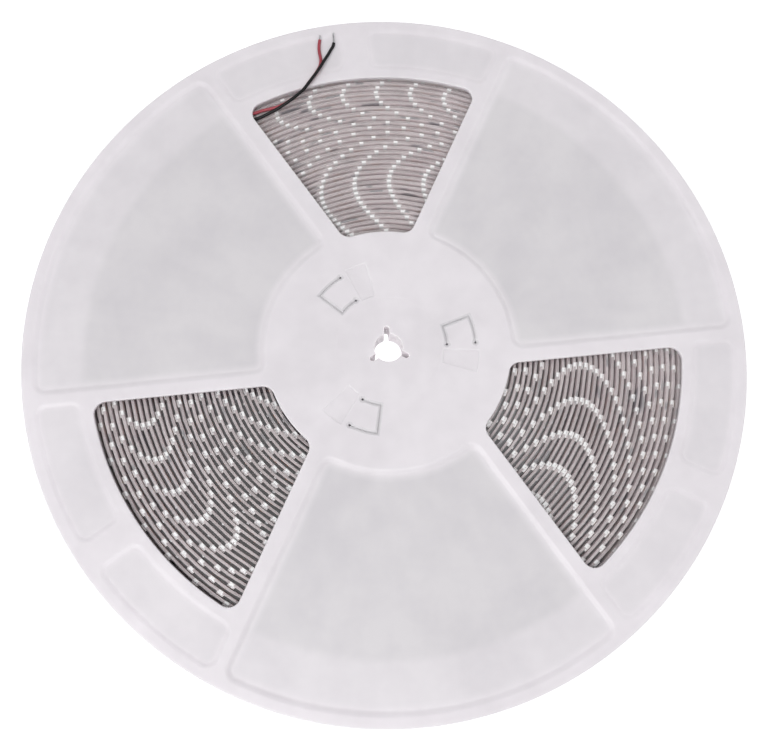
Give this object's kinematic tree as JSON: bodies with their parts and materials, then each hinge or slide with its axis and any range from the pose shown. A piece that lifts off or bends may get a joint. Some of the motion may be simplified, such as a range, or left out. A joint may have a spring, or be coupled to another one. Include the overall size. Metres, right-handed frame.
{
  "type": "led strip light reel",
  "caption": "Flat white plastic reel with three windows, wound on edge with a long LED strip whose red and black leads come up through one window.",
  "frame": {"origin": "centre of the reel's underside, on its axis", "axes": "+Z along the reel's axis, out of the front face that the leads lie on; one window points to about +Y"},
  "size_m": [0.33, 0.33, 0.0173],
  "materials": {
    "white_plastic": "injection-moulded polystyrene, satin",
    "led_strip": "flexible circuit with white solder mask and LED packages",
    "solder": "solder, bright",
    "red_insulation": "PVC, satin",
    "black_insulation": "PVC, satin",
    "tinned_copper": "tinned copper strands"
  },
  "bodies": {
    "root": {"front_half": "white_plastic", "back_half": "white_plastic", "led_strip": "led_strip", "solder_joint_red": "solder", "solder_joint_black": "solder", "red_lead": "red_insulation", "black_lead": "black_insulation", "red_lead_tip": "tinned_copper", "black_lead_tip": "tinned_copper"}
  },
  "joints": []
}
